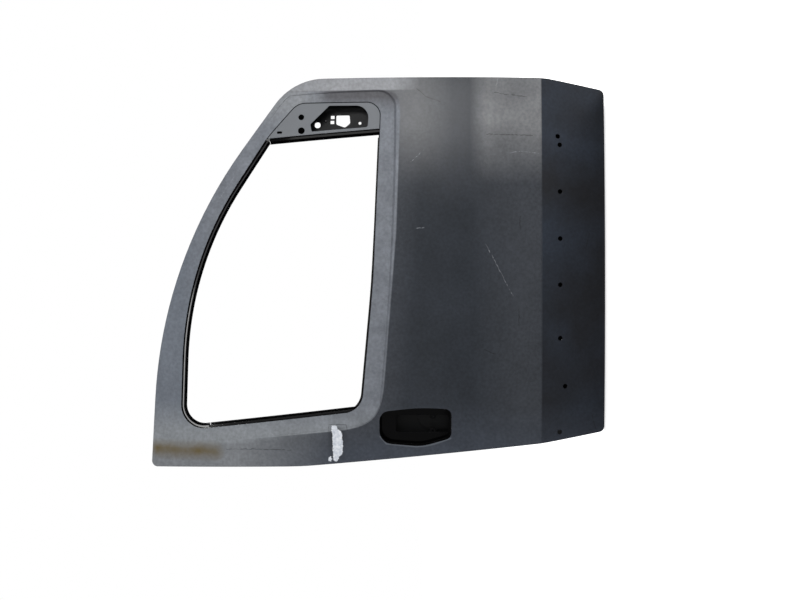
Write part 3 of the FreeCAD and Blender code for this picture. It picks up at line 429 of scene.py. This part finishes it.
# %% Edge finder
RAY_START = 0.5
LOOK_FROM = Vector((-0.56, 0.05))
FARTHEST = 1.3
FINE_STEP = 1.0 * MM


def inboard_point(names, x, z):
    """Innermost point of the named solids on a line across the door, or None beside them."""
    best = None
    for name in names:
        hit, point = nodes[name].ray_cast(Vector((x, RAY_START, z)), Vector((0.0, -1.0, 0.0)))[:2]
        if hit and (best is None or point.y > best.y):
            best = point
    return best


def edge_loop(steps, inset):
    """The door's outline moved in by an inset in metres, as points in the side view."""
    edge = []
    for step in range(steps):
        turn = 2.0 * math.pi * step / steps
        way = Vector((math.cos(turn), math.sin(turn)))
        reach = FARTHEST
        while inboard_point(["outer_skin"], *(LOOK_FROM + way * reach)) is None:
            reach -= FINE_STEP
        edge.append(LOOK_FROM + way * reach)
    moved = []
    for index, place in enumerate(edge):
        along = (edge[(index + 2) % steps] - edge[index - 2]).normalized()
        moved.append(place + Vector((-along.y, along.x)) * inset)
    return moved


def every(points, spacing):
    """Points of a closed loop about one spacing apart."""
    kept = [points[0]]
    for place in points:
        if (place - kept[-1]).length >= spacing:
            kept.append(place)
    return kept


def finished(piece, name, material):
    """Names a piece, fixes its form in place, and hands it to the door's one body."""
    bpy.ops.object.select_all(action="DESELECT")
    piece.select_set(True)
    bpy.context.view_layer.objects.active = piece
    bpy.ops.object.transform_apply(location=True, rotation=True, scale=True)
    piece.name = name
    piece.data.materials.clear()
    piece.data.materials.append(material)
    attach(piece, "root")
    print(name, len(piece.data.polygons), "faces")


FLANGE = ["inner_panel", "hinge_wall_panel", "inner_window_frame"]
print("outline found at", len(edge_loop(40, 0.0)), "places")

# %% [markdown]
# ## Seam sealer
# Where the hem ends, the plant lays a bead of sealer so that water can't creep between the sheets. It
# is coated over with everything else. A ring of points is laid along the end of the hem, turned into a
# curve, and given a round section.

# %% Sealer bead
BEAD_RADIUS = 1.6 * MM
BEAD_INSET = 12.4 * MM
route = edge_loop(300, BEAD_INSET)
bpy.ops.object.select_all(action="DESELECT")
bpy.ops.mesh.primitive_circle_add(vertices=len(route), radius=0.5)
bead = bpy.context.object
for corner, place in zip(bead.data.vertices, route):
    corner.co = inboard_point(FLANGE, *place)
bpy.ops.object.convert(target="CURVE")
bead = bpy.context.object
bead.data.bevel_depth = BEAD_RADIUS
bead.data.bevel_resolution = 2
bpy.ops.object.convert(target="MESH")
bpy.ops.object.shade_smooth()
finished(bpy.context.object, "hem_sealer", inner_coat)

# %% [markdown]
# ## Spot welds
# A welding gun leaves a shallow round mark on the flange each time it closes. One mark is a flattened
# ball; its copies sit in a row behind the hem and are joined into one piece.

# %% Spot welds
WELD_RADIUS = 3.2 * MM
WELD_INSET = 19.5 * MM
WELD_SPACING = 55.0 * MM
WELD_FLATNESS = 0.18
bpy.ops.object.select_all(action="DESELECT")
bpy.ops.mesh.primitive_uv_sphere_add(segments=16, ring_count=8, radius=WELD_RADIUS)
bpy.ops.transform.resize(value=(1.0, WELD_FLATNESS, 1.0))
bpy.ops.object.transform_apply(location=True, rotation=True, scale=True)
bpy.ops.object.shade_smooth()
mark = bpy.context.object
marks = []
for place in every(edge_loop(600, WELD_INSET), WELD_SPACING):
    seat = inboard_point(FLANGE, *place)
    if seat is None:
        continue
    copy = mark.copy()
    copy.data = mark.data.copy()
    copy.location = seat
    bpy.context.collection.objects.link(copy)
    marks.append(copy)
bpy.data.objects.remove(mark)
bpy.ops.object.select_all(action="DESELECT")
for copy in marks:
    copy.select_set(True)
bpy.context.view_layer.objects.active = marks[0]
bpy.ops.object.join()
finished(bpy.context.object, "spot_welds", inner_coat)
print(len(marks), "welds")


# %% [markdown]
# ## Weld nuts
# Nobody can hold a spanner inside a closed door, so nuts are welded to the back of the hinge, strap and
# latch plates. Each is a six-sided cylinder with a round hole cut through it, its rims broken by a
# small bevel.

# %% Weld nuts
def weld_nut(name, seat, way, flats_mm, height_mm, hole_mm):
    """One nut standing on a seat and pointing along a direction, in metres of the frame."""
    bpy.ops.object.select_all(action="DESELECT")
    bpy.ops.mesh.primitive_cylinder_add(vertices=24, radius=hole_mm / 2.0 * MM, depth=40.0 * MM)
    drill = bpy.context.object
    across = flats_mm / math.sqrt(3.0) * MM
    bpy.ops.mesh.primitive_cylinder_add(vertices=6, radius=across, depth=height_mm * MM)
    nut = bpy.context.object
    bevel = nut.modifiers.new("rim", "BEVEL")
    bevel.width = 0.6 * MM
    bevel.segments = 2
    bpy.ops.object.modifier_apply(modifier="rim")
    cut = nut.modifiers.new("thread_hole", "BOOLEAN")
    cut.object = drill
    bpy.ops.object.modifier_apply(modifier="thread_hole")
    bpy.data.objects.remove(drill)
    nut.rotation_euler = Vector(way).to_track_quat("Z", "Y").to_euler()
    nut.location = Vector(seat) + Vector(way).normalized() * height_mm / 2.0 * MM
    bpy.ops.object.shade_smooth_by_angle(angle=math.radians(35.0))
    finished(nut, name, inner_coat)


# Each nut's width across flats, height and hole in millimetres, for M10, M6 and M8 screws.
HINGE_NUT = (17.0, 8.0, 8.5)
STRAP_NUT = (11.0, 5.0, 5.0)
LATCH_NUT = (13.0, 6.5, 7.0)
# Places in metres: the back of each plate, the heights of the screws, and the latch's ring of holes.
AFT = (-1.0, 0.0, 0.0)
HINGE_BACK, HINGE_HEIGHTS = -0.0045, (0.025, -0.025, -0.305, -0.355)
STRAP_BACK, STRAP_HEIGHTS = -0.0065, (-0.082, -0.158)
LATCH_BACK, LATCH_RADIUS = 0.0045, 0.036
LATCH_MIDDLE = Vector((-1.077304, 0.004, -0.152195))
LATCH_INWARD = Vector((0.99497, 0.0, 0.100174))
LATCH_UP = Vector((-0.100174, 0.0, 0.99497))
for rise in HINGE_HEIGHTS:
    weld_nut("hinge_nut_%d" % round(1000.0 * rise), (HINGE_BACK, 0.0, rise), AFT, *HINGE_NUT)
for rise in STRAP_HEIGHTS:
    weld_nut("strap_nut_%d" % round(1000.0 * rise), (STRAP_BACK, 0.0, rise), AFT, *STRAP_NUT)
for turn in (90.0, 210.0, 330.0):
    rise = LATCH_RADIUS * math.sin(math.radians(turn))
    side = LATCH_RADIUS * math.cos(math.radians(turn))
    seat = LATCH_MIDDLE + LATCH_UP * rise + Vector((0.0, side, 0.0)) + LATCH_INWARD * LATCH_BACK
    weld_nut("latch_nut_%d" % turn, seat, LATCH_INWARD, *LATCH_NUT)

# %% [markdown]
# ## Plug in the mirror reinforcement
# One small hole of the perforated plate is blind. A rubber plug fills it: a short cylinder with a
# rounded rim, seen as a dark dot between the lit holes.

# %% Plug
PLUG_X, PLUG_Z = -0.0975, 0.269
PLUG_RADIUS, PLUG_DEPTH, PLUG_SUNK = 4.2 * MM, 3.4 * MM, 0.75 * MM
BESIDE = 0.006
level = inboard_point(["mirror_reinforcement"], PLUG_X - BESIDE, PLUG_Z)
bpy.ops.object.select_all(action="DESELECT")
bpy.ops.mesh.primitive_cylinder_add(vertices=32, radius=PLUG_RADIUS, depth=PLUG_DEPTH,
                                    location=(PLUG_X, level.y - PLUG_SUNK, PLUG_Z),
                                    rotation=(math.pi / 2.0, 0.0, 0.0))
plug = bpy.context.object
bevel = plug.modifiers.new("rim", "BEVEL")
bevel.width = 0.8 * MM
bevel.segments = 3
bpy.ops.object.modifier_apply(modifier="rim")
bpy.ops.object.shade_smooth_by_angle(angle=math.radians(40.0))
finished(plug, "reinforcement_plug", gloss_coat)

# %% [markdown]
# ## Floor, light and camera
# The picture is a plain cut-out on white. The world looks white but lights the door at less than half
# that strength; the lamps give the rest, so that a colour shows about as it is written. A tall narrow
# lamp ahead of the hinge edge is mirrored in the bowed panel and draws its broad sheen.

# %% Floor
FLOOR_GLOW = 0.6
FLOOR_SIZE, FLOOR_GAP = 60.0, 0.004
bpy.ops.object.select_all(action="DESELECT")
bpy.ops.mesh.primitive_plane_add(size=FLOOR_SIZE, location=(-0.6, 0.0, cad_box[0][2] - FLOOR_GAP))
floor = bpy.context.object
floor.name = "floor"
# White floor paint: flat, so that it keeps only a soft shadow.
floor_paint, floor_shader, node = new_material("white_floor")
floor_shader.inputs["Base Color"].default_value = linear("#ffffff")
floor_shader.inputs["Roughness"].default_value = 0.9
floor_shader.inputs["Specular IOR Level"].default_value = 0.0
floor_shader.inputs["Emission Color"].default_value = linear("#ffffff")
glow = node("Math", {0: node("LightPath", None, "Is Camera Ray"), 1: FLOOR_GLOW}, operation="MULTIPLY")
floor_paint.node_tree.links.new(glow, floor_shader.inputs["Emission Strength"])
floor.data.materials.append(floor_paint)
print("floor at %.3f m" % floor.location.z)

# %% [markdown]
# The world is a white room. The camera and mirroring faces see it white, and everything else is lit by
# it at a plainer level. Light Path tells the two kinds of ray apart.

# %% World
WORLD_LIGHT = 0.45
world = bpy.data.worlds.new("studio")
bpy.context.scene.world = world
world.use_nodes = True
backdrop = world.node_tree.nodes["Background"]
backdrop.inputs["Color"].default_value = linear("#ffffff")
node = partial(add, world.node_tree)
seen = node("LightPath", None, "Is Camera Ray")
for ray in ("Is Glossy Ray", "Is Transmission Ray"):
    seen = node("Math", {0: seen, 1: node("LightPath", None, ray)}, operation="MAXIMUM")
strength = node("MapRange", {0: seen, 3: WORLD_LIGHT, 4: 1.0})
world.node_tree.links.new(strength, backdrop.inputs["Strength"])
print("world lights at", WORLD_LIGHT)

# %% [markdown]
# Three soft lamps: the tall one for the sheen, one overhead that lifts the window frame, and one behind
# that grazes the inside of the door. One function builds each from its place, aim, size and power.

# %% Lamps
def lamp(name, place, target, width, height, watts):
    """A soft rectangular lamp aimed at a point."""
    light = bpy.data.lights.new(name, "AREA")
    light.shape = "RECTANGLE"
    light.size, light.size_y = width, height
    light.energy = watts
    made = bpy.data.objects.new(name, light)
    made.location = place
    made.rotation_euler = (Vector(target) - Vector(place)).to_track_quat("-Z", "Y").to_euler()
    bpy.context.collection.objects.link(made)
    print(name, watts, "W")


MIDDLE = (-0.6, -0.05, 0.1)
lamp("hinge_side_lamp", (0.98, -3.285, 0.1), (0.0, -0.05, 0.0), 0.7, 3.2, 65.0)
lamp("overhead_lamp", (-1.2, -2.3, 2.6), (-0.8, 0.0, 0.7), 1.2, 0.8, 16.0)
lamp("inside_lamp", (1.5, 1.5, 1.9), MIDDLE, 0.6, 0.6, 110.0)

# %% [markdown]
# The photo looks straight at the outer face from a few metres away, with the door lying on its side in
# the picture. The lens follows from the distance and from how many millimetres one pixel spans.

# %% Camera
PHOTO_WIDTH_PX = 800.0
CAMERA_AWAY = 3.6
SCALE_MM_PER_PX = 3.0
CENTRE_X, CENTRE_Z = -0.648, 0.040
FACE_OUT = cad_box[0][1]
lens = bpy.data.cameras.new("photo_camera")
lens.sensor_fit = "HORIZONTAL"
lens.sensor_width = 36.0
lens.lens = lens.sensor_width * CAMERA_AWAY / (PHOTO_WIDTH_PX * SCALE_MM_PER_PX * MM)
camera = bpy.data.objects.new("photo_camera", lens)
bpy.context.collection.objects.link(camera)
camera.location = (CENTRE_X, FACE_OUT - CAMERA_AWAY, CENTRE_Z)
camera.rotation_euler = (math.radians(90.0), math.radians(90.0), 0.0)
bpy.context.scene.camera = camera
bpy.context.scene.view_settings.view_transform = "Standard"
print("lens of %.1f mm" % lens.lens)
